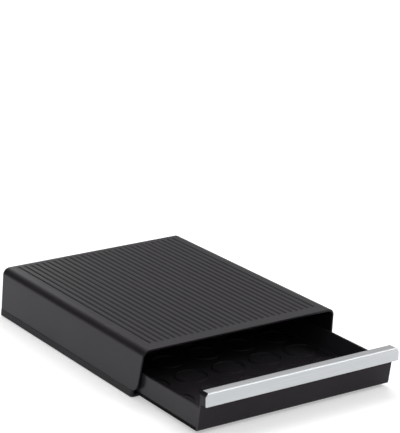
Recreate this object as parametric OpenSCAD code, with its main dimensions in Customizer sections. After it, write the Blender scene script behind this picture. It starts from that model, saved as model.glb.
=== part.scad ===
// Coffee pod drawer: a low housing whose grooved deck carries a coffee machine, and a shallow
// drawer that slides forward out of it, held down by tabs along two guide walls.
// Origin: middle of the overall footprint on the table, with the drawer open by drawer_open.
// +X is to the right, the drawer opens towards -Y, and +Z is up. All lengths are millimetres.

/* [Housing] */
// Width of the deck, between the outer faces of the sides
deck_width = 265; // [240:1:300]
// How far each side leans out, from the deck down to the table
side_lean = 5.2; // [3:0.5:8]
// Height of the deck above the table
housing_height = 63.2; // [60:0.1:75]
// Depth of the deck, from its front edge to the back
housing_depth = 348; // [300:1:400]
// Thickness of the sides and the back
housing_wall = 2.4; // [2:0.1:2.8]
// Thickness of the deck
deck_thick = 3; // [2.4:0.1:4]
// Radius along the deck's two side edges
edge_radius = 9.5; // [6:0.5:11]
// Slope of the front edges, back from the deck down to the table, in degrees
front_rake = 11; // [5:0.5:12]
// Radius where each front edge runs into the foot of the side
toe_radius = 17; // [8:1:22]
// Small round along the deck's front and back edges
lip_radius = 1.2; // [0.6:0.1:1.4]

/* [Deck grooves] */
// Number of grooves across the deck
groove_count = 29; // [5:2:33]
// Distance between the grooves' centres
groove_pitch = 8.15; // [6:0.05:9]
// Width of a groove at the deck's surface
groove_width = 4.2; // [2:0.1:4.5]
// Depth of a groove
groove_depth = 1.2; // [0.4:0.1:1.4]
// Plain border in front of the grooves
groove_front_margin = 16; // [10:1:40]
// Plain border behind the grooves
groove_rear_margin = 6; // [4:1:30]

/* [Under the deck] */
// Depth of the stiffening ribs
rib_depth = 3; // [2:0.5:4]
// Thickness of a stiffening rib
rib_thick = 1.6; // [1.2:0.1:2]
// Largest distance between ribs
rib_spacing = 60; // [40:5:90]

/* [Base plate] */
// How far the rubber feet stand below the base plate
foot_proud = 1; // [0.6:0.1:2]
// Thickness of the base plate's floor
plate_thick = 2.5; // [2.2:0.1:3.5]
// Height of the base plate's rim, on which the housing's sides stand
rim_height = 8; // [3.5:0.1:9]
// How far the base plate leads the foot of the sides
base_lead = 3.7; // [0:0.1:6]
// Radius of the base plate's front corners
base_corner_radius = 4; // [1:0.5:8]
// Thickness of the two guide walls
guide_wall = 1.4; // [1.2:0.1:1.6]
// Height of the guide walls above the base plate's floor
guide_height = 10; // [9.5:0.1:12]
// Length of a hold-down tab
tab_length = 14; // [8:1:24]
// Thickness of a hold-down tab
tab_thick = 1.6; // [1.2:0.1:2]
// Largest distance between the tabs' centres
tab_spacing = 62; // [50:1:90]

/* [Snap hooks] */
// Length of a hook that holds the base plate
hook_length = 10; // [6:1:14]
// Height of a hook
hook_height = 1.8; // [1.2:0.1:2.4]
// How far a hook reaches into its window
hook_reach = 1; // [0.6:0.1:1.2]
// Height of wall left above the windows
hook_margin = 1.5; // [1:0.1:2.5]

/* [Feet and screws] */
// Radius of a rubber foot
foot_radius = 9; // [5:0.5:12]
// Depth of the recess that holds a foot
foot_recess = 0.8; // [0.4:0.1:1.2]
// Distance of a foot's centre from the base plate's edges
foot_inset = 22; // [16:1:40]
// Number of screws along the back
screw_count = 3; // [2:1:5]
// Distance of the outer screws from the base plate's sides
screw_inset = 48; // [30:1:100]
// Radius of a screw's shank
screw_radius = 1.45; // [1:0.05:1.5]
// Length of a screw's shank
screw_length = 10; // [6:0.5:14]
// Radius of a screw's head
screw_head_radius = 2.8; // [2.2:0.1:3.2]
// Height of a screw's head
screw_head_height = 1.1; // [0.8:0.1:1.4]
// Length of the cross cut into a screw's head
cross_length = 3.4; // [2.4:0.1:4]
// Width of that cross
cross_width = 0.8; // [0.6:0.1:1]
// Radius of the bosses that take the screws
boss_radius = 3.3; // [3:0.1:4]
// Height of the bosses
boss_height = 26; // [16:1:40]
// Thickness of the web that joins a boss to the back
boss_web = 1.6; // [1.2:0.1:2]

/* [Drawer] */
// Thickness of the drawer's sides and back
tray_wall = 2.2; // [1.8:0.1:2.6]
// Thickness of the drawer's front
front_wall = 2.4; // [2:0.1:3]
// Thickness of the drawer's floor
tray_floor = 2; // [1.6:0.1:2.6]
// Height of the drawer's sides and back
side_height = 29; // [24:0.5:36]
// Radius of the drawer's back corners, seen from above
tray_corner_radius = 8; // [4:0.5:14]
// Radius along the lower edge of the drawer's front and back
tray_toe_radius = 4; // [2:0.5:6]
// Radius inside, where the floor meets the walls
tray_fillet = 4; // [2:0.5:4.5]
// How far the drawer stands open
drawer_open = 120; // [0:1:200]
// Travel of the drawer from closed to its stop
full_travel = 230; // [204:1:240]

/* [Pod places] */
// Pods side by side
pod_columns = 5; // [3:1:5]
// Pods front to back
pod_rows = 6; // [3:1:6]
// Diameter of a pod's foot
pod_foot = 36.8; // [30:0.1:37]
// Clearance round a pod's foot
pod_gap = 0.3; // [0.1:0.1:0.6]
// Thickness of the ring that holds a pod's foot
ring_wall = 0.9; // [0.7:0.1:1.2]
// Height of that ring
ring_height = 1.5; // [1:0.1:3]
// Distance of the outer rings from the drawer's sides
ring_side_margin = 5; // [4.5:0.5:8]
// Distance of the outer rings from the drawer's front and back
ring_end_margin = 7; // [5:0.5:10]

/* [Glide strips] */
// Height of a glide strip
glide_height = 4.4; // [3:0.1:5]
// Thickness of a glide strip
glide_thick = 1.4; // [1.2:0.1:1.5]
// Width of the shoe flange that runs under the tabs
flange_width = 1.6; // [1.4:0.1:1.8]
// Thickness of the shoe flange
flange_thick = 1.7; // [1.4:0.1:2]
// Distance of a glide strip from the drawer's front
glide_start = 4; // [3.5:0.5:20]

/* [Handle] */
// How far the handle's face stands in front of the drawer's lower front edge
handle_reach = 17.6; // [14:0.1:18]
// Height of the handle's top above the drawer's bottom
handle_top_height = 51; // [44:0.1:52]
// Height of the handle's lower edge above the drawer's bottom
handle_low_height = 34.7; // [28:0.1:36]
// Thickness of the handle's metal
strip_thick = 1.5; // [1.2:0.1:1.8]
// Radius of the handle's front crease
crease_radius = 2; // [1.8:0.1:4]
// Radius of the handle's rear upper edge
rear_edge_radius = 2.2; // [1.8:0.1:2.4]
// Slope of the handle's top face, down to the front, in degrees
top_slope = 5; // [0:1:8]
// Length of the two legs that clip over the drawer's front
clip_length = 6; // [4:0.5:8]
// Thickness of the two clip legs
clip_thick = 1.2; // [1:0.1:1.4]
// Radius of the handle's upper corners, seen from the front
handle_corner = 6.6; // [5:0.1:8]
// Width of an end cap, seen from above
cap_width = 3.4; // [2.8:0.1:5]
// Thickness of an end cap beside the drawer's front
cap_side = 2; // [1.6:0.1:2.4]
// Length of the plug that holds an end cap in the strip
plug_length = 6; // [4:0.5:10]
// Height of that plug
plug_height = 3; // [2:0.1:3.4]

/* [Clearances] */
// Between the drawer and the housing, each side
side_gap = 0.7; // [0.3:0.01:1]
// Between the glide strips and the base plate
glide_gap = 0.3; // [0.3:0.05:0.4]
// Between moving and fixed parts elsewhere
slide_gap = 0.35; // [0.3:0.01:0.4]
// Between parts that are fitted together
fit_gap = 0.2; // [0.1:0.05:0.25]
// Between the closed drawer and the bosses behind it
close_gap = 0.5; // [0.3:0.1:2]
// Between a screw's shank and its hole
screw_gap = 0.05; // [0.03:0.01:0.1]

/* [Hidden] */

plastic = [0.07, 0.07, 0.075];
dark_plastic = [0.03, 0.03, 0.032];
rubber = [0.05, 0.05, 0.05];
silver = [0.78, 0.79, 0.80];
steel = [0.5, 0.5, 0.52];

left = -1;
right = 1;
front = -1;
rear = 1;
arc_steps = 10;      // flats in an arc of an outline
round_steps = 48;    // flats in a full circle
over = 1;            // how far a cutting shape runs past the surface it cuts
bite = 0.5;          // how far a joined shape runs into the wall that carries it

// Levels above the table
plate_bottom = foot_proud;
plate_top = plate_bottom + plate_thick;
rim_top = plate_bottom + rim_height;
guide_top = plate_top + guide_height;
glide_bottom = plate_top + glide_gap;
tray_bottom = glide_bottom + fit_gap;
floor_top = tray_bottom + tray_floor;
side_top = tray_bottom + side_height;
glide_top = glide_bottom + glide_height;
flange_top = glide_bottom + flange_thick;
tab_bottom = flange_top + slide_gap;
tab_top = tab_bottom + tab_thick;
handle_top = tray_bottom + handle_top_height;
handle_low = tray_bottom + handle_low_height;
deck_under = housing_height - deck_thick;

// Leaning sides: half widths at a height z
lean_angle = atan(side_lean / housing_height);
function outer_half(z) = deck_width / 2 + tan(lean_angle) * (housing_height - z);
function inner_half(z) = outer_half(z) - housing_wall / cos(lean_angle);

// Front to back: the overall footprint is centred on the origin
flush_offset = tan(front_rake) * (housing_height - tray_bottom);
handle_offset = flush_offset - drawer_open - handle_reach;
deck_front = -(handle_offset + housing_depth) / 2;
back_y = deck_front + housing_depth;
back_inside = back_y - housing_wall;
flush_y = deck_front + flush_offset;
front_y = flush_y - drawer_open;
function tangent(r, rake) = r * tan((90 - rake) / 2);
function rake_y(z) = deck_front + tan(front_rake) * (housing_height - z);
toe_end = rake_y(rim_top) + tangent(toe_radius, front_rake);
base_front = toe_end - base_lead;

// Drawer
tray_half = inner_half(handle_top - handle_corner) - side_gap;
boss_y = back_inside - fit_gap - boss_radius;
tray_depth = boss_y - boss_radius - close_gap - flush_y;
tray_back = front_y + tray_depth;
tray_inside_half = tray_half - tray_wall;
tray_inside_back = tray_back - tray_wall;
function front_out(z) = front_y - tan(front_rake) * (z - tray_bottom);
function front_in(z) = front_out(z) + front_wall / cos(front_rake);

// Guide walls, tabs and the shoes they hold down
guide_out = inner_half(guide_top) - slide_gap;
guide_in = guide_out - guide_wall;
tab_in = tray_half + slide_gap;
guide_start = base_front + base_corner_radius;
guide_end = back_inside - slide_gap;
tab_count = 1 + ceil((guide_end - guide_start - 2 * tab_length) / tab_spacing);
tab_pitch = (guide_end - guide_start - 2 * tab_length) / (tab_count - 1);
function tab_y(i) = guide_start + tab_length + i * tab_pitch;
stop_back = tab_y(0) - tab_length / 2;
glide_inner = tray_half - glide_thick - fit_gap;
glide_outer = glide_inner + glide_thick;
glide_end = tray_back - tray_corner_radius;
shoe_front = stop_back + slide_gap + full_travel - drawer_open;
hook_top = guide_top - hook_margin;
hook_bottom = hook_top - hook_height;

// Rings for the pods' feet
ring_inner = pod_foot / 2 + pod_gap;
ring_outer = ring_inner + ring_wall;
ring_x_span = 2 * (tray_inside_half - ring_side_margin - ring_outer);
ring_front = front_in(floor_top) + ring_end_margin + ring_outer;
ring_back = tray_inside_back - ring_end_margin - ring_outer;

// Handle outline, and the drawer's front that ends under the handle's top face
face_y = front_y - handle_reach;
function clip_out(z) = front_in(z) + (fit_gap + clip_thick) / cos(front_rake);
function clip_front(z) = front_out(z) - (fit_gap + clip_thick) / cos(front_rake);
rear_z = handle_top - rear_edge_radius;
rear_y = clip_out(rear_z) - rear_edge_radius / cos(front_rake);
crease_y = face_y + crease_radius;
crease_z = rear_z
    + (rear_edge_radius - crease_radius + (crease_y - rear_y) * sin(top_slope)) / cos(top_slope);
function inner_top_z(y) =
    crease_z + (crease_radius - strip_thick + (y - crease_y) * sin(top_slope)) / cos(top_slope);
strip_half = tray_half - cap_width;
front_top = inner_top_z(front_out(rear_z)) - fit_gap;
front_corner = handle_corner - (handle_top - front_top);
front_half = tray_half - cap_side - fit_gap;
clip_low = front_top - clip_length;

function arc(cx, cy, r, from, to) = [
    for (i = [0:arc_steps])
        let (a = from + (to - from) * i / arc_steps) [cx + r * cos(a), cy + r * sin(a)]
];

// Extrudes a profile drawn in X and Z from y0 to y1
module across(y0, y1) {
    translate([0, y1, 0]) rotate([90, 0, 0]) linear_extrude(y1 - y0) children();
}

// Extrudes a profile drawn in Y and Z from x0 to x1
module along(x0, x1) {
    translate([x0, 0, 0]) rotate([90, 0, 90]) linear_extrude(x1 - x0) children();
}

module block(x0, x1, y0, y1, z0, z1) {
    translate([x0, y0, z0]) cube([x1 - x0, y1 - y0, z1 - z0]);
}

module on_side(side) {
    mirror([side < 0 ? 1 : 0, 0, 0]) children();
}

// Half of an inverted U with leaning sides, inset from the housing's outer faces
function half_u(inset, top, r, bottom) = concat(
    [[outer_half(bottom) - inset / cos(lean_angle), bottom]],
    arc(outer_half(top) - inset / cos(lean_angle) - tangent(r, lean_angle), top - r, r, lean_angle, 90)
);

module u_outline(inset, top, r, bottom) {
    pts = half_u(inset, top, r, bottom);
    last = len(pts) - 1;
    polygon(concat(pts, [for (i = [0:last]) [-pts[last - i][0], pts[last - i][1]]]));
}

// Side view of the housing: raked front edge, rounded toe and small rounds on the deck's edges
module housing_side_view() {
    lip_run = lip_radius * tan((90 + front_rake) / 2);
    polygon(concat(
        [[back_y, rim_top]],
        arc(back_y - lip_radius, housing_height - lip_radius, lip_radius, 0, 90),
        arc(deck_front + lip_run, housing_height - lip_radius, lip_radius, 90, 180 + front_rake),
        arc(toe_end, rim_top + toe_radius, toe_radius, 180 + front_rake, 270)
    ));
}

module housing_shell() {
    intersection() {
        difference() {
            across(deck_front - over, back_y) u_outline(0, housing_height, edge_radius, rim_top);
            across(deck_front - 2 * over, back_inside)
                u_outline(housing_wall, deck_under, edge_radius - housing_wall, rim_top - over);
        }
        along(-outer_half(0), outer_half(0)) housing_side_view();
    }
}

module deck_grooves() {
    r = (groove_width * groove_width / 4 + groove_depth * groove_depth) / (2 * groove_depth);
    y0 = deck_front + groove_front_margin;
    y1 = back_y - groove_rear_margin;
    for (i = [0:groove_count - 1]) {
        x = (i - (groove_count - 1) / 2) * groove_pitch;
        translate([x, y1, housing_height - groove_depth + r]) rotate([90, 0, 0])
            cylinder(r = r, h = y1 - y0, $fn = round_steps);
    }
}

// Ribs under the deck, lengthwise and crosswise, evenly spaced
module deck_ribs() {
    z0 = deck_under - rib_depth;
    z1 = deck_under + bite;
    half = inner_half(deck_under) - edge_radius;
    y0 = deck_front + groove_front_margin;
    y1 = back_inside + bite;
    columns = ceil(2 * half / rib_spacing);
    rows = ceil((y1 - y0) / rib_spacing);
    for (i = [0:columns]) {
        x = -half + 2 * half * i / columns;
        block(x - rib_thick / 2, x + rib_thick / 2, y0, y1, z0, z1);
    }
    for (i = [0:rows - 1]) {
        y = y0 + (y1 - y0) * i / rows;
        block(-half, half, y, y + rib_thick, z0, z1);
    }
}

function screw_x(i) = (outer_half(plate_bottom) - screw_inset) * (2 * i / (screw_count - 1) - 1);

// Bosses that stand on the base plate, one over each screw, each webbed to the back
module screw_bosses() {
    for (i = [0:screw_count - 1]) translate([screw_x(i), 0, 0]) difference() {
        union() {
            translate([0, boss_y, plate_top])
                cylinder(r = boss_radius, h = boss_height, $fn = round_steps);
            block(-boss_web / 2, boss_web / 2, boss_y, back_inside + bite, rim_top,
                plate_top + boss_height);
        }
        translate([0, boss_y, plate_top - over])
            cylinder(r = screw_radius + screw_gap, h = screw_length + 2 * over, $fn = round_steps);
    }
}

function hook_y(i) = tab_y(i) + tab_pitch / 2;

// Snap hooks inside the sides: flat on top, sloped below
module snap_hooks() {
    for (side = [left, right], i = [0:tab_count - 2]) {
        on_side(side) across(hook_y(i) - hook_length / 2, hook_y(i) + hook_length / 2) polygon([
            [inner_half(hook_top) + bite, hook_top], [guide_out - hook_reach, hook_top],
            [inner_half(hook_bottom), hook_bottom], [inner_half(hook_bottom) + bite, hook_bottom]
        ]);
    }
}

module housing_cover() {
    color(plastic) difference() {
        union() {
            housing_shell();
            deck_ribs();
            screw_bosses();
            snap_hooks();
        }
        deck_grooves();
    }
}

// The base plate seen from above
module base_plan() {
    r = base_corner_radius;
    half = outer_half(plate_bottom);
    polygon(concat(
        [[half, back_y], [-half, back_y]],
        arc(-half + r, base_front + r, r, 180, 270),
        arc(half - r, base_front + r, r, 270, 360)
    ));
}

module base_tray() {
    intersection() {
        difference() {
            across(base_front - over, back_y) polygon([
                [-outer_half(plate_bottom), plate_bottom], [outer_half(plate_bottom), plate_bottom],
                [outer_half(rim_top), rim_top], [-outer_half(rim_top), rim_top]
            ]);
            block(-inner_half(rim_top), inner_half(rim_top), base_front - 2 * over, back_inside,
                plate_top, rim_top + over);
        }
        linear_extrude(rim_top + over) base_plan();
    }
}

// One guide wall with its hold-down tabs and the stop at its front end
module guide(side) {
    on_side(side) {
        difference() {
            block(guide_in, guide_out, guide_start, guide_end, plate_top - bite, guide_top);
            for (i = [0:tab_count - 2]) translate([0, hook_y(i), 0]) {
                block(guide_in - over, guide_out + over, -hook_length / 2 - fit_gap,
                    hook_length / 2 + fit_gap, hook_bottom - fit_gap, hook_top + fit_gap);
            }
        }
        for (i = [0:tab_count - 1]) {
            block(tab_in, guide_in + bite, tab_y(i) - tab_length / 2, tab_y(i) + tab_length / 2,
                tab_bottom, tab_top);
        }
        block(tab_in, guide_in + bite, guide_start, stop_back, plate_top - bite, tab_top);
    }
}

// Windows in the floor under the tabs, through which the mould forms their undersides
module tab_windows(side) {
    on_side(side) for (i = [0:tab_count - 1]) {
        block(tab_in, guide_in, tab_y(i) - tab_length / 2, tab_y(i) + tab_length / 2,
            plate_bottom - over, plate_top + over);
    }
}

module at_foot(side, end) {
    x = side * (outer_half(plate_bottom) - foot_inset);
    y = end < 0 ? base_front + foot_inset : back_y - foot_inset;
    translate([x, y, 0]) children();
}

module base_plate() {
    color(plastic) difference() {
        union() {
            base_tray();
            guide(left);
            guide(right);
        }
        tab_windows(left);
        tab_windows(right);
        for (side = [left, right], end = [front, rear]) {
            at_foot(side, end) translate([0, 0, plate_bottom - over])
                cylinder(r = foot_radius + fit_gap, h = foot_recess + over, $fn = round_steps);
        }
        for (i = [0:screw_count - 1]) translate([screw_x(i), boss_y, plate_bottom - over]) {
            cylinder(r = screw_radius + fit_gap, h = plate_thick + 2 * over, $fn = round_steps);
            cylinder(r = screw_head_radius + fit_gap, h = screw_head_height + fit_gap + over,
                $fn = round_steps);
        }
    }
}

// A rubber foot: a disc with a chamfered lower edge, pressed into its recess
module rubber_foot(side, end) {
    edge = foot_proud / 2;
    color(rubber) at_foot(side, end) {
        translate([0, 0, edge])
            cylinder(r = foot_radius, h = foot_proud - edge + foot_recess, $fn = round_steps);
        cylinder(r1 = foot_radius - edge, r2 = foot_radius, h = edge, $fn = round_steps);
    }
}

module base_screws() {
    seat = plate_bottom + screw_head_height + fit_gap;
    color(steel) for (i = [0:screw_count - 1]) translate([screw_x(i), boss_y, seat]) difference() {
        union() {
            cylinder(r = screw_radius, h = screw_length, $fn = round_steps);
            translate([0, 0, -screw_head_height])
                cylinder(r = screw_head_radius, h = screw_head_height, $fn = round_steps);
        }
        for (turn = [0, 90]) rotate([0, 0, turn]) translate([0, 0, -screw_head_height])
            cube([cross_length, cross_width, screw_head_height], center = true);
    }
}

// Side view of the drawer up to the top of its sides
module tray_side_view() {
    r = tray_toe_radius;
    polygon(concat(
        [[tray_back, side_top], [front_out(side_top), side_top]],
        arc(front_y + tangent(r, front_rake), tray_bottom + r, r, 180 + front_rake, 270),
        arc(tray_back - r, tray_bottom + r, r, 270, 360)
    ));
}

// The drawer, or its inside, seen from above: square in front, round at the back
module tray_plan(half, back, r) {
    polygon(concat(
        arc(half - r, back - r, r, 0, 90),
        arc(-half + r, back - r, r, 90, 180),
        [[-half, face_y], [half, face_y]]
    ));
}

// Front view of a piece with a flat top and rounded upper corners
module front_view(half, top, r, bottom) {
    polygon(concat(
        [[-half, bottom], [half, bottom]],
        arc(half - r, top - r, r, 0, 90),
        arc(-half + r, top - r, r, 90, 180)
    ));
}

// Side view of the drawer's front above its sides, grown by a gap and ending at a given height
module front_side_view(gap, bottom, top) {
    polygon([
        [front_out(bottom) - gap, bottom], [front_in(bottom) + gap, bottom],
        [front_in(top) + gap, top], [front_out(top) - gap, top]
    ]);
}

// The drawer's front above its sides: narrower at the top, where the end caps close round it
module tray_front() {
    step = clip_low - fit_gap;
    bottom = side_top - 2 * over;
    r = front_corner;
    intersection() {
        along(-tray_half - over, tray_half + over) front_side_view(0, side_top - over, front_top);
        across(face_y, 0) polygon(concat(
            [[-front_half, step], [-tray_half, step], [-tray_half, bottom]],
            [[tray_half, bottom], [tray_half, step], [front_half, step]],
            arc(front_half - r, front_top - r, r, 0, 90),
            arc(-front_half + r, front_top - r, r, 90, 180)
        ));
    }
}

// The drawer's inside: filleted along the floor, raked in front
module tray_hollow() {
    r = tray_fillet;
    top = side_top + over;
    half = tray_inside_half;
    inside_corner = max(tray_corner_radius - tray_wall, bite);
    intersection() {
        across(face_y, back_y) polygon(concat(
            [[half, top], [-half, top]],
            arc(-half + r, floor_top + r, r, 180, 270),
            arc(half - r, floor_top + r, r, 270, 360)
        ));
        along(-tray_half, tray_half) polygon(concat(
            [[tray_inside_back, top], [front_in(top), top]],
            arc(front_in(floor_top) + tangent(r, front_rake), floor_top + r, r, 180 + front_rake, 270),
            arc(tray_inside_back - r, floor_top + r, r, 270, 360)
        ));
        linear_extrude(top) tray_plan(half, tray_inside_back, inside_corner);
    }
}

module pod_rings() {
    for (i = [0:pod_columns - 1], j = [0:pod_rows - 1]) {
        x = -ring_x_span / 2 + ring_x_span * i / (pod_columns - 1);
        y = ring_front + (ring_back - ring_front) * j / (pod_rows - 1);
        translate([x, y, floor_top - bite]) difference() {
            cylinder(r = ring_outer, h = ring_height + bite, $fn = round_steps);
            translate([0, 0, bite])
                cylinder(r = ring_inner, h = ring_height + over, $fn = round_steps);
        }
    }
}

// Rebates along the drawer's lower edges, which the glide strips fill
module glide_rebate(side) {
    on_side(side) block(glide_inner, tray_half + over, front_y + glide_start, glide_end,
        tray_bottom - over, glide_top);
}

module drawer_tray() {
    color(plastic) difference() {
        union() {
            difference() {
                intersection() {
                    along(-tray_half, tray_half) tray_side_view();
                    linear_extrude(side_top + over) tray_plan(tray_half, tray_back, tray_corner_radius);
                }
                tray_hollow();
            }
            tray_front();
            pod_rings();
        }
        glide_rebate(left);
        glide_rebate(right);
    }
}

// A glide strip in its rebate, with the shoe flange at its rear end
module glide_strip(side) {
    color(dark_plastic) on_side(side) {
        block(glide_inner, glide_outer, front_y + glide_start, glide_end, glide_bottom, glide_top);
        block(glide_outer - bite, glide_outer + flange_width, shoe_front, glide_end,
            glide_bottom, flange_top);
    }
}

// Rear edge, top face, crease and face of the handle, seen from its end
handle_skin = concat(
    [[clip_out(clip_low), clip_low]],
    arc(rear_y, rear_z, rear_edge_radius, front_rake, 90 + top_slope),
    arc(crease_y, crease_z, crease_radius, 90 + top_slope, 180),
    [[face_y, handle_low]]
);

// The space that the strip and the caps leave for the drawer's front
module front_slot() {
    intersection() {
        along(-tray_half - over, tray_half + over)
            front_side_view(fit_gap, clip_low - over, front_top + fit_gap);
        across(face_y, 0) front_view(front_half + fit_gap, front_top + fit_gap,
            front_corner + fit_gap, clip_low - 2 * over);
    }
}

// The strip: a thin shell between the caps, with a face that runs on in front of them
module handle_strip() {
    r = crease_radius - strip_thick;
    grip_y = clip_front(inner_top_z(crease_y));
    face_back = face_y + strip_thick;
    section = concat(handle_skin, [[face_back, handle_low], [face_back, clip_low]]);
    color(silver) intersection() {
        union() {
            difference() {
                along(-strip_half, strip_half) polygon(section);
                along(-tray_half, tray_half) polygon(concat(
                    [[face_back, clip_low - over], [clip_front(clip_low - over), clip_low - over],
                     [grip_y, inner_top_z(grip_y)]],
                    arc(crease_y, crease_z, r, 90 + top_slope, 180)
                ));
                front_slot();
            }
            intersection() {
                along(-tray_half, tray_half) polygon(section);
                block(-tray_half, tray_half, face_y, face_back, handle_low, handle_top);
            }
        }
        across(face_y, 0) front_view(tray_half, handle_top, handle_corner, handle_low - over);
    }
}

// An end cap: it fills the handle's end behind the face, closes round the corner of the drawer's
// front and reaches into the strip with a plug
module handle_cap(side) {
    plug_top = inner_top_z(crease_y) - fit_gap;
    plug_low = plug_top - plug_height;
    cap_front = face_y + strip_thick + fit_gap;
    color(dark_plastic) on_side(side) difference() {
        union() {
            intersection() {
                along(strip_half + fit_gap, tray_half) polygon(concat(handle_skin, [
                    [front_out(handle_low) - fit_gap, handle_low],
                    [front_out(clip_low) - fit_gap, clip_low]
                ]));
                across(cap_front, 0)
                    front_view(tray_half, handle_top, handle_corner, handle_low - over);
            }
            block(strip_half - plug_length, strip_half + cap_width / 2, crease_y,
                clip_front(plug_top) - fit_gap, plug_low, plug_top);
        }
        front_slot();
    }
}

housing_cover();
base_plate();
rubber_foot(left, front);  // rubber_foot_front_left
rubber_foot(right, front);  // rubber_foot_front_right
rubber_foot(left, rear);  // rubber_foot_rear_left
rubber_foot(right, rear);  // rubber_foot_rear_right
base_screws();
drawer_tray();
glide_strip(left);  // glide_strip_left
glide_strip(right);  // glide_strip_right
handle_strip();
handle_cap(left);  // handle_cap_left
handle_cap(right);  // handle_cap_right
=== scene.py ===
import bpy
import bmesh
import math
from mathutils import Matrix, Vector
from types import SimpleNamespace


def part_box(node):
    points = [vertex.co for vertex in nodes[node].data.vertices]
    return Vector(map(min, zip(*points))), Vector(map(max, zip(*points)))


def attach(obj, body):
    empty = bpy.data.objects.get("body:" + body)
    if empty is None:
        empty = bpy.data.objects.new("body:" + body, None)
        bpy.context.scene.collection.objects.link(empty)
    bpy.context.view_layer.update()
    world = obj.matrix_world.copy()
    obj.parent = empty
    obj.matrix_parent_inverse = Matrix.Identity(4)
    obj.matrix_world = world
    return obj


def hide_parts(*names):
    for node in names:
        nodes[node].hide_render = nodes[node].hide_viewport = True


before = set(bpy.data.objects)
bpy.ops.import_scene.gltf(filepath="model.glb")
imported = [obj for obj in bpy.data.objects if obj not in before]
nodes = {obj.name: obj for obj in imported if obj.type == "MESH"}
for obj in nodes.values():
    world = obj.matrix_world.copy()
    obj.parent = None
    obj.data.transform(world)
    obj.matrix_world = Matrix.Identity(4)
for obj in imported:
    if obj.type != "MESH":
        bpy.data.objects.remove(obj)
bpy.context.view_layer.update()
mm = 0.001
print("frame loaded:", len(nodes), "nodes")

view = {  # angles in degrees, lens and sensor in millimetres, the rest in metres
    "azimuth": -32.58, "elevation": 16.96, "distance": 2.8278, "target": (0.31076, 0.46626, 0.0),
    "lens": 156.84, "sensor": 36, "clip": (0.05, 30),
}


def placeCamera(s):
    azimuth = math.radians(s["azimuth"])
    elevation = math.radians(s["elevation"])
    back = Vector((math.sin(azimuth) * math.cos(elevation),
                   -math.cos(azimuth) * math.cos(elevation), math.sin(elevation)))
    right = (-back).cross(Vector((0, 0, 1))).normalized()
    up = right.cross(-back)
    camera = bpy.data.objects.new("camera", bpy.data.cameras.new("camera"))
    bpy.context.scene.collection.objects.link(camera)
    turn = Matrix((right, up, back)).transposed().to_4x4()
    camera.matrix_world = Matrix.Translation(Vector(s["target"]) + back * s["distance"]) @ turn
    camera.data.lens = s["lens"]
    camera.data.sensor_width = s["sensor"]
    camera.data.clip_start, camera.data.clip_end = s["clip"]
    bpy.context.scene.camera = camera


placeCamera(view)
print("camera placed")


def addNode(tree, kind, **values):
    made = tree.nodes.new(kind)
    for key, value in values.items():
        setattr(made, key, value)
    return made


def newGroup(name, inputs, outputs):
    tree = bpy.data.node_groups.new(name, "ShaderNodeTree")
    for label, value in inputs:
        socket = tree.interface.new_socket(name=label, in_out="INPUT", socket_type="NodeSocketFloat")
        socket.default_value = value
    for label in outputs:
        tree.interface.new_socket(name=label, in_out="OUTPUT", socket_type="NodeSocketFloat")
    return tree, addNode(tree, "NodeGroupInput"), addNode(tree, "NodeGroupOutput")


def useGroup(tree, group, **values):
    made = addNode(tree, "ShaderNodeGroup", node_tree=group)
    for key, value in values.items():
        made.inputs[key].default_value = value
    return made


def calc(tree, operation, a, b, clamp=False):
    made = addNode(tree, "ShaderNodeMath", operation=operation, use_clamp=clamp)
    for index, value in enumerate((a, b)):
        if isinstance(value, (int, float)):
            made.inputs[index].default_value = value
        else:
            tree.links.new(value, made.inputs[index])
    return made.outputs[0]


# a mask that starts at a given value and is steep from there
def steep(tree, value, start, gain):
    return calc(tree, "MULTIPLY", calc(tree, "SUBTRACT", value, start), gain, True)


# start where the mask is 0, start + spread where it is 1
def spreadOver(tree, mask, start, spread):
    return calc(tree, "ADD", calc(tree, "MULTIPLY", mask, spread), start)


def noise(tree, vector, scale, detail, rough):
    made = addNode(tree, "ShaderNodeTexNoise")
    made.inputs["Scale"].default_value = scale
    made.inputs["Detail"].default_value = detail
    made.inputs["Roughness"].default_value = rough
    tree.links.new(vector, made.inputs["Vector"])
    return made.outputs["Fac"]


def objectCoords(tree):
    return addNode(tree, "ShaderNodeTexCoord").outputs["Object"]


def scaledBy(tree, vector, factor):
    made = addNode(tree, "ShaderNodeVectorMath", operation="SCALE")
    tree.links.new(vector, made.inputs[0])
    tree.links.new(factor, made.inputs["Scale"])
    return made.outputs[0]


def mapRange(tree, value, limits):
    made = addNode(tree, "ShaderNodeMapRange")
    for socket, limit in zip(("From Min", "From Max", "To Min", "To Max"), limits):
        made.inputs[socket].default_value = limit
    tree.links.new(value, made.inputs["Value"])
    return made.outputs["Result"]


def mixColour(tree, factor, a, b):
    made = addNode(tree, "ShaderNodeMix", data_type="RGBA")
    tree.links.new(factor, made.inputs["Factor"])
    for socket, value in (("A", a), ("B", b)):
        target = [i for i in made.inputs if i.name == socket and i.type == "RGBA"][0]
        if isinstance(value, tuple):
            target.default_value = (*value, 1)
        else:
            tree.links.new(value, target)
    return [o for o in made.outputs if o.type == "RGBA"][0]


def bumpFrom(tree, height, strength, distance):
    made = addNode(tree, "ShaderNodeBump")
    made.inputs["Strength"].default_value = strength
    made.inputs["Distance"].default_value = distance
    tree.links.new(height, made.inputs["Height"])
    return made.outputs["Normal"]


# spark-eroded mould texture: fine pebbles with a broad unevenness under them
grainLook = {  # a noise is scale, detail, roughness
    "pebbles": 1500, "pebbleSmoothness": 0.6, "pebbleShare": -0.7,
    "fine": (2600, 3.0, 0.6), "fineShare": 0.6,
    "cloud": (18, 4.0, 0.55), "cloudContrast": 2.0, "cloudStart": 0.5,
}


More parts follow.
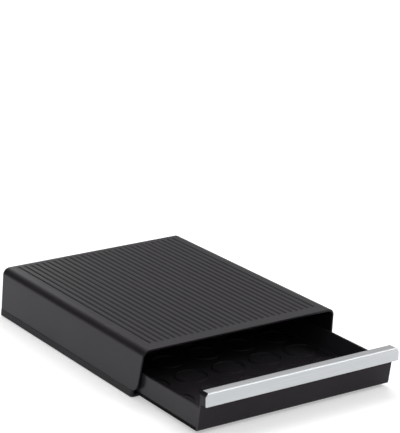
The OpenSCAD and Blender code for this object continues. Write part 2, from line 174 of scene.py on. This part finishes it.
def makeMouldGrain(s):
    tree, source, out = newGroup("mouldGrain", [("Scale", 1.0)], ["Height", "Cloud"])
    place = scaledBy(tree, objectCoords(tree), source.outputs["Scale"])
    pebbles = addNode(tree, "ShaderNodeTexVoronoi", feature="SMOOTH_F1")
    pebbles.inputs["Scale"].default_value = s["pebbles"]
    pebbles.inputs["Smoothness"].default_value = s["pebbleSmoothness"]
    tree.links.new(place, pebbles.inputs["Vector"])
    coarse = calc(tree, "MULTIPLY", pebbles.outputs["Distance"], s["pebbleShare"])
    fine = calc(tree, "MULTIPLY", noise(tree, place, *s["fine"]), s["fineShare"])
    tree.links.new(calc(tree, "ADD", coarse, fine), out.inputs["Height"])
    cloud = calc(tree, "MULTIPLY", noise(tree, place, *s["cloud"]), s["cloudContrast"])
    tree.links.new(calc(tree, "SUBTRACT", cloud, s["cloudStart"], True), out.inputs["Cloud"])
    return tree


# marks edges, where handling has polished the surface, and upper faces, where dust lies and, on the
# handle, painted shade darkens the top
handlingLook = {  # a noise is scale, detail, roughness
    "edgeWidth": 0.0009, "samples": 6, "edgeGain": 4.0, "breaks": (160, 3.0, 0.6), "breakGain": 1.5,
    "upStart": 0.6, "upGain": 2.5,
    "specks": (900, 2.0, 0.7), "speckStart": 0.62, "speckGain": 6.0,
    "dustFilmAndTopShade": (26, 3.0, 0.6), "filmShare": 0.5,
}


def makeHandling(s):
    tree, source, out = newGroup("handling", [("Edge Width", s["edgeWidth"])], ["Edge", "Dust", "Up"])
    coords = objectCoords(tree)
    geometry = addNode(tree, "ShaderNodeNewGeometry")
    rounded = addNode(tree, "ShaderNodeBevel", samples=s["samples"])
    tree.links.new(source.outputs["Edge Width"], rounded.inputs["Radius"])
    likeness = addNode(tree, "ShaderNodeVectorMath", operation="DOT_PRODUCT")
    tree.links.new(rounded.outputs[0], likeness.inputs[0])
    tree.links.new(geometry.outputs["True Normal"], likeness.inputs[1])
    unlike = calc(tree, "SUBTRACT", 1.0, likeness.outputs["Value"])
    turned = calc(tree, "MULTIPLY", unlike, s["edgeGain"], True)
    broken = calc(tree, "MULTIPLY", noise(tree, coords, *s["breaks"]), s["breakGain"], True)
    tree.links.new(calc(tree, "MULTIPLY", turned, broken), out.inputs["Edge"])
    axes = addNode(tree, "ShaderNodeSeparateXYZ")
    tree.links.new(geometry.outputs["Normal"], axes.inputs[0])
    upward = steep(tree, axes.outputs["Z"], s["upStart"], s["upGain"])
    tree.links.new(upward, out.inputs["Up"])
    specks = steep(tree, noise(tree, coords, *s["specks"]), s["speckStart"], s["speckGain"])
    dustFilmAndTopShade = calc(tree, "MULTIPLY", noise(tree, coords, *s["dustFilmAndTopShade"]), s["filmShare"])
    tree.links.new(calc(tree, "MULTIPLY", upward, calc(tree, "ADD", specks, dustFilmAndTopShade)), out.inputs["Dust"])
    return tree


# brushing along X: long thin scratches in strength and height
brushLook = {  # a noise is scale, detail, roughness
    "stretch": (0.02, 1.0, 1.0), "scratches": (2400, 4.0, 0.7), "streaks": (500, 5.0, 0.6),
}


def makeBrushing(s):
    tree, source, out = newGroup("brushing", [("Fineness", 1.0)], ["Height", "Streak"])
    mapping = addNode(tree, "ShaderNodeMapping")
    mapping.inputs["Scale"].default_value = s["stretch"]
    tree.links.new(objectCoords(tree), mapping.inputs["Vector"])
    place = scaledBy(tree, mapping.outputs[0], source.outputs["Fineness"])
    tree.links.new(noise(tree, place, *s["scratches"]), out.inputs["Height"])
    tree.links.new(noise(tree, place, *s["streaks"]), out.inputs["Streak"])
    return tree


mouldGrain = makeMouldGrain(grainLook)
handling = makeHandling(handlingLook)
brushing = makeBrushing(brushLook)


def newMaterial(name):
    material = bpy.data.materials.new(name)
    material.use_nodes = True
    return material, material.node_tree, material.node_tree.nodes["Principled BSDF"]


# moulded plastic: near black, faintly grained, shinier where it is handled
def makePlastic(name, s):
    material, tree, shader = newMaterial(name)
    grain = useGroup(tree, mouldGrain, Scale=s["grainScale"])
    touch = useGroup(tree, handling)
    base = mixColour(tree, grain.outputs["Cloud"], s["dark"], s["light"])
    worn = mixColour(tree, calc(tree, "MULTIPLY", touch.outputs["Edge"], s["edge"]), base, s["wornColour"])
    dust = calc(tree, "MULTIPLY", touch.outputs["Dust"], s["dust"])
    tree.links.new(mixColour(tree, dust, worn, s["dustColour"]), shader.inputs["Base Color"])
    rough = spreadOver(tree, grain.outputs["Cloud"], s["rough"], s["roughSpread"])
    polish = calc(tree, "MULTIPLY", touch.outputs["Edge"], s["edgePolish"])
    tree.links.new(calc(tree, "SUBTRACT", rough, polish), shader.inputs["Roughness"])
    shader.inputs["Specular IOR Level"].default_value = s["specular"]
    shader.inputs["Specular Tint"].default_value = (*s["tint"], 1)
    bump = bumpFrom(tree, grain.outputs["Height"], s["grain"], s["grainHeight"])
    tree.links.new(bump, shader.inputs["Normal"])
    return material


# brushed metal, with painted shade darkening its upper faces
def makeAluminium(name, s):
    material, tree, shader = newMaterial(name)
    lines = useGroup(tree, brushing)
    touch = useGroup(tree, handling)
    base = mixColour(tree, lines.outputs["Streak"], s["dark"], s["light"])
    worn = mixColour(tree, touch.outputs["Edge"], base, s["bright"])
    # painted shade: the upper faces are drawn darker to stand in for the light falling off across the top
    dustFilmAndTopShade = calc(tree, "MULTIPLY", touch.outputs["Up"], s["dustFilmAndTopShade"])
    tree.links.new(mixColour(tree, dustFilmAndTopShade, worn, s["topShadeColour"]), shader.inputs["Base Color"])
    shader.inputs["Metallic"].default_value = 1.0
    rough = spreadOver(tree, lines.outputs["Streak"], s["rough"], s["roughSpread"])
    tree.links.new(rough, shader.inputs["Roughness"])
    bump = bumpFrom(tree, lines.outputs["Height"], s["brush"], s["brushHeight"])
    tree.links.new(bump, shader.inputs["Normal"])
    return material


def makeRubber(name, s):
    material, tree, shader = newMaterial(name)
    grain = useGroup(tree, mouldGrain, Scale=s["grainScale"])
    base = mixColour(tree, grain.outputs["Cloud"], s["dark"], s["light"])
    tree.links.new(base, shader.inputs["Base Color"])
    rough = spreadOver(tree, grain.outputs["Cloud"], s["rough"], s["roughSpread"])
    tree.links.new(rough, shader.inputs["Roughness"])
    bump = bumpFrom(tree, grain.outputs["Height"], s["grain"], s["grainHeight"])
    tree.links.new(bump, shader.inputs["Normal"])
    return material


def makeSteel(name, s):
    material, tree, shader = newMaterial(name)
    lines = useGroup(tree, brushing, Fineness=s["fineness"])
    base = mixColour(tree, lines.outputs["Streak"], s["dark"], s["light"])
    tree.links.new(base, shader.inputs["Base Color"])
    shader.inputs["Metallic"].default_value = 1.0
    rough = spreadOver(tree, lines.outputs["Streak"], s["rough"], s["roughSpread"])
    tree.links.new(rough, shader.inputs["Roughness"])
    bump = bumpFrom(tree, lines.outputs["Height"], s["brush"], s["brushHeight"])
    tree.links.new(bump, shader.inputs["Normal"])
    return material


# the housing and the drawer are one plastic: the housing's colour is drawn darker, as painted shade, and
# the drawer's lighter, as painted light
plasticLook = {
    "dark": (0.0125, 0.0108, 0.0130), "light": (0.0175, 0.0152, 0.0182),
    "edge": 0.35, "wornColour": (0.048, 0.044, 0.049), "edgePolish": 0.1,
    "dust": 0.05, "dustColour": (0.30, 0.29, 0.28),
    "rough": 0.33, "roughSpread": 0.08, "specular": 0.2, "tint": (0.98, 0.91, 1.0),
    "grainScale": 1.0, "grain": 0.35, "grainHeight": 0.00008,
}
drawerLitLook = dict(
    plasticLook, dark=(0.0224, 0.0199, 0.0233), light=(0.0305, 0.0273, 0.0314), rough=0.20, specular=0.12,
)
baseLook = dict(plasticLook, dust=0.0, rough=0.5)
# glide strips drawn near pure black and barely shiny: painted shade standing in for the shadow band under
# the drawer's sides
glideShadeLook = dict(
    plasticLook, dark=(0.002, 0.002, 0.002), light=(0.004, 0.004, 0.004), edge=0.05, dust=0.0, rough=0.6,
    specular=0.05, grain=0.1,
)
capLook = dict(
    plasticLook, dark=(0.009, 0.008, 0.0094), light=(0.0128, 0.0115, 0.0133), rough=0.26, dust=0.0,
    specular=0.12, grain=0.15,
)
handleLook = {
    "dark": (0.43, 0.445, 0.46), "light": (0.60, 0.615, 0.63), "bright": (0.64, 0.645, 0.66),
    # share and colour of the painted shade on the handle's upper face
    "dustFilmAndTopShade": 0.65, "topShadeColour": (0.28, 0.28, 0.285),
    "rough": 0.36, "roughSpread": 0.12, "brush": 0.12, "brushHeight": 0.00005,
}
rubberLook = {
    "dark": (0.018, 0.018, 0.018), "light": (0.04, 0.039, 0.037),
    "rough": 0.75, "roughSpread": 0.15, "grainScale": 0.6, "grain": 0.5, "grainHeight": 0.0001,
}
screwLook = {
    "dark": (0.42, 0.42, 0.43), "light": (0.62, 0.61, 0.6),
    "rough": 0.2, "roughSpread": 0.2, "fineness": 1.6, "brush": 0.15, "brushHeight": 0.00005,
}
housingShadedBlack = makePlastic("housingShadedBlack", plasticLook)
drawerLitBlack = makePlastic("drawerLitBlack", drawerLitLook)
baseBlack = makePlastic("baseBlack", baseLook)
glideShadeBlack = makePlastic("glideShadeBlack", glideShadeLook)
capBlack = makePlastic("capBlack", capLook)
handleSilver = makeAluminium("handleSilver", handleLook)
footRubber = makeRubber("footRubber", rubberLook)
screwSteel = makeSteel("screwSteel", screwLook)
print("materials made")

smoothing = {"sharpAngle": 32, "faceWeight": 80}


def finishPiece(name, bm, body, material, node):
    mesh = bpy.data.meshes.new(name)
    bm.to_mesh(mesh)
    bm.free()
    piece = bpy.data.objects.new(name, mesh)
    bpy.context.scene.collection.objects.link(piece)
    mesh.materials.append(material)
    mesh.shade_smooth()
    mesh.set_sharp_from_angle(angle=math.radians(smoothing["sharpAngle"]))
    even = piece.modifiers.new("evenShading", "WEIGHTED_NORMAL")
    even.keep_sharp = True
    even.weight = smoothing["faceWeight"]
    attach(piece, body)
    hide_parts(node)
    print("made", name, len(mesh.polygons), "faces")


def sharpEdges(bm, angle):
    return [e for e in bm.edges if len(e.link_faces) == 2 and e.calc_face_angle() > math.radians(angle)]


def roundEdges(bm, edges, radius, segments, clamped):
    bmesh.ops.bevel(bm, geom=edges, offset=radius, offset_type="OFFSET", segments=segments, profile=0.5,
                    affect="EDGES", clamp_overlap=clamped, material=-1)


# housing: a U of leaning sides and deck, one sheet outside and one inside, joined along the rim
housing = {  # millimetres and degrees
    "wall": 2.4, "deck": 3.0, "edgeRadius": 9.5, "edgeSteps": 12, "lean": 5.2, "height": 63.2,
    "sideLevels": (30.0, 42.0),
    "rake": 11.0, "rakeReach": -50.0, "toeRadius": 17.0, "toeTurn": 80, "toeStep": 8,
    "rimTop": 9.0, "rimRound": 0.85, "rimSegments": 4, "rimAngle": 50,
    "grooves": 29, "pitch": 8.15, "grooveWidth": 4.4, "grooveDepth": 1.15, "grooveSquareness": 2,
    "grooveSteps": (0.5, 0.475, 0.44, 0.38, 0.28, 0.14), "deckSkin": 0.05,
    "run": 3.2, "runSteps": (0, 0.1, 0.25, 0.5, 0.75, 1.0),
    "frontMargin": 16.0, "rearMargin": 6.0, "endStrip": 3, "deckStations": (-40, 60, 150),
    "ribDepth": 3.0, "ribThick": 1.6, "ribColumns": 5, "ribRows": 6,
    "bossRadius": 3.3, "bossSides": 40, "bossHeight": 26.0, "bossWeb": 1.6, "screwHead": 2.8,
    "hooks": 5, "hookLength": 10.0, "hookLevels": (10.2, 12.0), "hookReach": 1.3, "hookStart": -42.86,
    "hookPitch": 58.48,
    "bite": 0.5, "backBite": 0.3,  # how far inner parts run into the walls that carry them
    "sameLevel": 0.001,
}


# what follows from the settings and the housing's box
def measureHousing(s):
    low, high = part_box("housing_cover")
    m = SimpleNamespace(bottom=low.z / mm, foot=s["rimTop"], top=high.z / mm)
    m.front = low.y / mm
    m.back = high.y / mm
    m.lean = math.atan(s["lean"] / s["height"])
    m.rake = math.radians(s["rake"])
    m.halfTop = high.x / mm - math.tan(m.lean) * (m.top - m.foot)
    m.deckEnd = m.halfTop - s["edgeRadius"] * math.tan((math.pi / 2 - m.lean) / 2)
    m.toeBend = m.foot + s["toeRadius"] * (1 - math.sin(m.rake))
    toeRun = s["toeRadius"] * math.tan((math.pi / 2 - m.rake) / 2)
    m.toeEnd = m.front + math.tan(m.rake) * (m.top - m.foot) + toeRun
    m.deckUnder = m.top - s["deck"]
    m.backInside = m.back - s["wall"]
    m.grooveX = [(i - (s["grooves"] - 1) / 2) * s["pitch"] for i in range(s["grooves"])]
    m.grooveStart = m.front + s["frontMargin"]
    m.grooveEnd = m.back - s["rearMargin"]
    return m


def frontEdge(s, m, z):
    if z >= m.toeBend:
        return m.front + math.tan(m.rake) * (m.top - z)
    rise = s["toeRadius"] - (z - m.foot)
    return m.toeEnd - math.sqrt(max(s["toeRadius"] ** 2 - rise ** 2, 0))


# half a cross-section up to the deck, then the deck with points at each groove, then the other half
def crossSection(s, m, inset, level, radius):
    def side(z):
        return m.halfTop + math.tan(m.lean) * (m.top - z) - inset / math.cos(m.lean)

    centre = side(level) - radius * math.tan((math.pi / 2 - m.lean) / 2)
    toes = [m.foot + s["toeRadius"] * (1 - math.cos(math.radians(a)))
            for a in range(0, s["toeTurn"] + 1, s["toeStep"])]
    half = [(side(z), z) for z in (*toes, *s["sideLevels"])]
    for i in range(s["edgeSteps"] + 1):
        a = m.lean + (math.pi / 2 - m.lean) * i / s["edgeSteps"]
        half.append((centre + radius * math.cos(a), level - radius + radius * math.sin(a)))
    across = [-k for k in s["grooveSteps"]] + [0, *s["grooveSteps"][::-1]]
    deckX = [x + k * s["grooveWidth"] for x in m.grooveX for k in across]
    middle = [(x * centre / m.deckEnd, level) for x in deckX]
    return [(-x, z) for x, z in half] + middle + half[::-1]


# a cross-section drawn out along the stations and closed at the back
def addSheet(bm, s, m, points, stations):
    verts = [bm.verts.new((x, stations[0], z)) for x, z in points]
    edges = [bm.edges.new(pair) for pair in zip(verts, verts[1:])]
    for a, b in zip(stations, stations[1:]):
        made = bmesh.ops.extrude_edge_only(bm, edges=edges)["geom"]
        verts = [g for g in made if isinstance(g, bmesh.types.BMVert)]
        edges = [g for g in made if isinstance(g, bmesh.types.BMEdge)]
        bmesh.ops.translate(bm, vec=(0, b - a, 0), verts=verts)
    feet = [v for v in verts if abs(v.co.z - m.foot) < s["sameLevel"]]
    bmesh.ops.contextual_create(bm, geom=edges + feet)


def addSheets(bm, s, m):
    stations = [m.front, m.front + s["endStrip"]]
    stations += [m.grooveStart + s["run"] * k for k in s["runSteps"]]
    stations += s["deckStations"]
    stations += [m.grooveEnd - s["run"] * k for k in s["runSteps"][::-1]]
    stations.append(m.back - s["endStrip"])
    outside = crossSection(s, m, 0, m.top, s["edgeRadius"])
    inside = crossSection(s, m, s["wall"], m.deckUnder, s["edgeRadius"] - s["wall"])
    addSheet(bm, s, m, outside, stations + [m.back])
    addSheet(bm, s, m, inside, stations + [m.backInside])


# the front edge leans back and runs into the foot in an arc
def rakeFront(bm, s, m):
    reach = s["rakeReach"]
    for v in bm.verts:
        if v.co.y < reach:
            share = (v.co.y - reach) / (m.front - reach)
            v.co.y = reach + share * (frontEdge(s, m, v.co.z) - reach)


# the grooves run out at both ends
def carveGrooves(bm, s, m):
    for v in bm.verts:
        if v.co.z > m.top - s["deckSkin"] and m.grooveStart < v.co.y < m.grooveEnd:
            x = min((v.co.x - g for g in m.grooveX), key=abs) / s["grooveWidth"]
            if abs(x) < 0.5:
                end = min(min(v.co.y - m.grooveStart, m.grooveEnd - v.co.y) / s["run"], 1)
                depth = s["grooveDepth"] * (1 - abs(2 * x) ** s["grooveSquareness"])
                v.co.z -= depth * math.sin(math.pi / 2 * end)


def addBlock(bm, xs, ys, zs):
    made = bmesh.ops.create_cube(bm, size=1)["verts"]
    bmesh.ops.scale(bm, vec=[b - a for a, b in (xs, ys, zs)], verts=made)
    bmesh.ops.translate(bm, vec=[sum(span) / 2 for span in (xs, ys, zs)], verts=made)
    return made


def about(middle, width):
    return middle - width / 2, middle + width / 2


def addRibs(bm, s, m):
    half = m.halfTop - s["wall"] - s["edgeRadius"]
    levels = (m.deckUnder - s["ribDepth"], m.deckUnder + s["bite"])
    for i in range(s["ribColumns"] + 1):
        xs = about(half * (2 * i / s["ribColumns"] - 1), s["ribThick"])
        addBlock(bm, xs, (m.grooveStart, m.backInside + s["backBite"]), levels)
    for i in range(s["ribRows"]):
        y = m.grooveStart + (m.backInside - m.grooveStart) * i / s["ribRows"]
        addBlock(bm, (-half, half), (y, y + s["ribThick"]), levels)


def addBosses(bm, s, m):
    screwLow, screwHigh = (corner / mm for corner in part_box("base_screws"))
    y = (screwLow.y + screwHigh.y) / 2
    levels = (m.bottom, m.bottom + s["bossHeight"])
    outerX = screwHigh.x - s["screwHead"]
    for x in (-outerX, 0, outerX):
        boss = bmesh.ops.create_cone(bm, cap_ends=True, segments=s["bossSides"], radius1=s["bossRadius"],
                                     radius2=s["bossRadius"], depth=s["bossHeight"])["verts"]
        bmesh.ops.translate(bm, vec=(x, y, sum(levels) / 2), verts=boss)
        addBlock(bm, about(x, s["bossWeb"]), (y, m.backInside + s["backBite"]), (m.foot, levels[1]))


# snap hooks inside the sides, sloped below
def addHooks(bm, s, m):
    low, high = s["hookLevels"]
    wallX = m.halfTop + math.tan(m.lean) * (m.top - high) - s["wall"]
    for i in range(s["hooks"]):
        ys = about(s["hookStart"] + s["hookPitch"] * i, s["hookLength"])
        for side in (-1, 1):
            xs = sorted((side * (wallX - s["hookReach"]), side * (wallX + s["bite"])))
            hook = addBlock(bm, xs, ys, s["hookLevels"])
            for v in hook:
                if v.co.z < (low + high) / 2 and abs(v.co.x) < wallX:
                    v.co.x = side * wallX


def makeHousing(s):
    m = measureHousing(s)
    bm = bmesh.new()
    addSheets(bm, s, m)
    rakeFront(bm, s, m)
    rim = bmesh.ops.bridge_loops(bm, edges=[e for e in bm.edges if e.is_boundary])["faces"]
    bmesh.ops.recalc_face_normals(bm, faces=bm.faces[:])
    roundEdges(bm, sharpEdges(bm, s["rimAngle"]), s["rimRound"], s["rimSegments"], False)
    carveGrooves(bm, s, m)
    print("housing rim faces:", len(rim))
    addRibs(bm, s, m)
    addBosses(bm, s, m)
    addHooks(bm, s, m)
    bmesh.ops.scale(bm, vec=(mm, mm, mm), verts=bm.verts[:])
    finishPiece("housingShell", bm, "housing", housingShadedBlack, "housing_cover")


makeHousing(housing)

# drawer, handle and the rest: the CAD shapes with rounded edges
rounding = {"merge": 0.000004, "flatAngle": 0.4, "sharpAngle": 28, "segments": 3, "narrow": 1.5}


def joinFlats(bm, s):
    bmesh.ops.dissolve_limit(bm, angle_limit=math.radians(s["flatAngle"]), verts=bm.verts[:],
                             edges=bm.edges[:])


# a merged copy of a CAD node, rounded as far as its short edges allow or, in full, beyond them
def softened(nodeName, radius, inFull, s):
    bm = bmesh.new()
    bm.from_mesh(nodes[nodeName].data)
    bmesh.ops.remove_doubles(bm, verts=bm.verts[:], dist=s["merge"])
    joinFlats(bm, s)
    if inFull:  # the left half, which has no slivers, also makes the right half
        geometry = bm.verts[:] + bm.edges[:] + bm.faces[:]
        bmesh.ops.symmetrize(bm, input=geometry, direction="-X", dist=s["merge"])
        joinFlats(bm, s)
    edges = sharpEdges(bm, s["sharpAngle"])
    if inFull:  # edges beside faces too narrow for the radius stay sharp
        edges = [e for e in edges
                 if min(f.calc_area() for f in e.link_faces) > s["narrow"] * radius * e.calc_length()]
    roundEdges(bm, edges, radius, s["segments"], not inFull)
    return bm


dressed = [
    # piece, CAD node, body, material, slot, radius in metres, rounded in full
    ("drawerShell", "drawer_tray", "drawer", drawerLitBlack, "drawer_black", 0.0003, True),
    ("handleProfile", "handle_strip", "drawer", handleSilver, "handle_silver", 0.0003, False),
    ("handleEndLeft", "handle_cap_left", "drawer", capBlack, "cap_black", 0.0003, False),
    ("handleEndRight", "handle_cap_right", "drawer", capBlack, "cap_black", 0.0003, False),
    # the glide strips stand where the drawer's lower sides fall into shadow; their black is painted shade
    ("glideLeftShadeBand", "glide_strip_left", "drawer", glideShadeBlack, "glide_black", 0.00025, False),
    ("glideRightShadeBand", "glide_strip_right", "drawer", glideShadeBlack, "glide_black", 0.00025, False),
    ("basePan", "base_plate", "housing", baseBlack, "base_black", 0.00035, False),
    ("footFrontLeft", "rubber_foot_front_left", "housing", footRubber, "foot_rubber", 0.0002, False),
    ("footFrontRight", "rubber_foot_front_right", "housing", footRubber, "foot_rubber", 0.0002, False),
    ("footRearLeft", "rubber_foot_rear_left", "housing", footRubber, "foot_rubber", 0.0002, False),
    ("footRearRight", "rubber_foot_rear_right", "housing", footRubber, "foot_rubber", 0.0002, False),
    ("baseScrews", "base_screws", "housing", screwSteel, "screw_steel", 0.00015, False),
]
for name, node, body, material, slot, radius, inFull in dressed:
    finishPiece(name, softened(node, radius, inFull, rounding), body, material, node)

room = {  # metres and watts
    "floorSize": 8, "floorCells": 8, "floorColour": (0.86, 0.86, 0.865), "floorRough": 0.8,
    "floorSpecular": 0.1, "lift": 0.41, "fade": (0.5, 1.5, 0.0, 0.6),
    "ambient": 0.36, "mirroredBright": 1.0, "mirroredDark": 0.08,
    "brightSide": (0.5, -0.87, 0.0), "darkSide": -0.95, "litSide": 0.2,
    "lights": [
        # name, place, aimed at, width, height, power
        ("leftSoftbox", (-1.5, -0.6, 1.1), (-0.1, -0.05, 0.03), 1.0, 0.8, 3.5),
        ("topSoftbox", (0.4, 0.75, 2.2), (0, 0, 0.03), 1.8, 1.4, 27),
        ("rightSoftbox", (1.0, -1.1, 1.3), (0, -0.1, 0.03), 0.9, 0.6, 8.5),
        ("rearPanel", (0.45, 2.0, 0.7), (-0.1, 0.15, 0.06), 0.7, 0.6, 1.75),
    ],
}


# how much of a ray's view is the plain white background rather than light
def backgroundShare(tree):
    path = addNode(tree, "ShaderNodeLightPath")
    seen = calc(tree, "MAXIMUM", path.outputs["Is Camera Ray"], path.outputs["Is Glossy Ray"])
    return path, calc(tree, "MAXIMUM", seen, path.outputs["Is Transmission Ray"])


# white to the eye, even light for diffuse rays, and in reflections brighter in front than behind
def makeWorld(s):
    world = bpy.data.worlds.new("studio")
    bpy.context.scene.world = world
    world.use_nodes = True
    tree = world.node_tree
    background = tree.nodes["Background"]
    background.inputs["Color"].default_value = (1, 1, 1, 1)
    path, share = backgroundShare(tree)
    glossy = path.outputs["Is Glossy Ray"]
    along = addNode(tree, "ShaderNodeVectorMath", operation="DOT_PRODUCT")
    tree.links.new(addNode(tree, "ShaderNodeTexCoord").outputs["Generated"], along.inputs[0])
    along.inputs[1].default_value = s["brightSide"]
    limits = (s["darkSide"], s["litSide"], s["mirroredDark"], s["mirroredBright"])
    mirrored = calc(tree, "MULTIPLY", glossy, mapRange(tree, along.outputs["Value"], limits))
    plain = calc(tree, "SUBTRACT", 1.0, glossy)
    shown = calc(tree, "MULTIPLY", share, calc(tree, "ADD", plain, mirrored))
    lit = calc(tree, "MULTIPLY", calc(tree, "SUBTRACT", 1.0, share), s["ambient"])
    tree.links.new(calc(tree, "ADD", shown, lit), background.inputs["Strength"])


def makeFloor(s):
    bm = bmesh.new()
    bmesh.ops.create_grid(bm, x_segments=s["floorCells"], y_segments=s["floorCells"], size=s["floorSize"])
    mesh = bpy.data.meshes.new("floor")
    bm.to_mesh(mesh)
    bm.free()
    floor = bpy.data.objects.new("floor", mesh)
    bpy.context.scene.collection.objects.link(floor)
    material, tree, shader = newMaterial("paleFloor")
    shader.inputs["Base Color"].default_value = (*s["floorColour"], 1)
    shader.inputs["Roughness"].default_value = s["floorRough"]
    shader.inputs["Specular IOR Level"].default_value = s["floorSpecular"]
    shader.inputs["Emission Color"].default_value = (1, 1, 1, 1)
    path, share = backgroundShare(tree)
    seen = path.outputs["Is Camera Ray"]
    distance = addNode(tree, "ShaderNodeVectorMath", operation="LENGTH")
    tree.links.new(objectCoords(tree), distance.inputs[0])
    far = mapRange(tree, distance.outputs["Value"], s["fade"])
    lift = calc(tree, "MULTIPLY", share, s["lift"])
    strength = calc(tree, "ADD", lift, calc(tree, "MULTIPLY", seen, far))
    tree.links.new(strength, shader.inputs["Emission Strength"])
    # seen from below, the floor lets the underside show
    clear = addNode(tree, "ShaderNodeBsdfTransparent")
    choice = addNode(tree, "ShaderNodeMixShader")
    below = addNode(tree, "ShaderNodeNewGeometry").outputs["Backfacing"]
    tree.links.new(calc(tree, "MULTIPLY", below, seen), choice.inputs["Fac"])
    tree.links.new(shader.outputs[0], choice.inputs[1])
    tree.links.new(clear.outputs[0], choice.inputs[2])
    tree.links.new(choice.outputs[0], tree.nodes["Material Output"].inputs["Surface"])
    mesh.materials.append(material)


def makeLights(s):
    for name, place, aim, width, height, power in s["lights"]:
        data = bpy.data.lights.new(name, "AREA")
        data.shape = "RECTANGLE"
        data.size = width
        data.size_y = height
        data.energy = power
        lamp = bpy.data.objects.new(name, data)
        bpy.context.scene.collection.objects.link(lamp)
        facing = (Vector(aim) - Vector(place)).to_track_quat("-Z", "Y")
        lamp.matrix_world = Matrix.Translation(place) @ facing.to_matrix().to_4x4()


makeWorld(room)
makeFloor(room)
makeLights(room)
bpy.context.scene.view_settings.view_transform = "Standard"
print("room made")

bpy.context.view_layer.update()
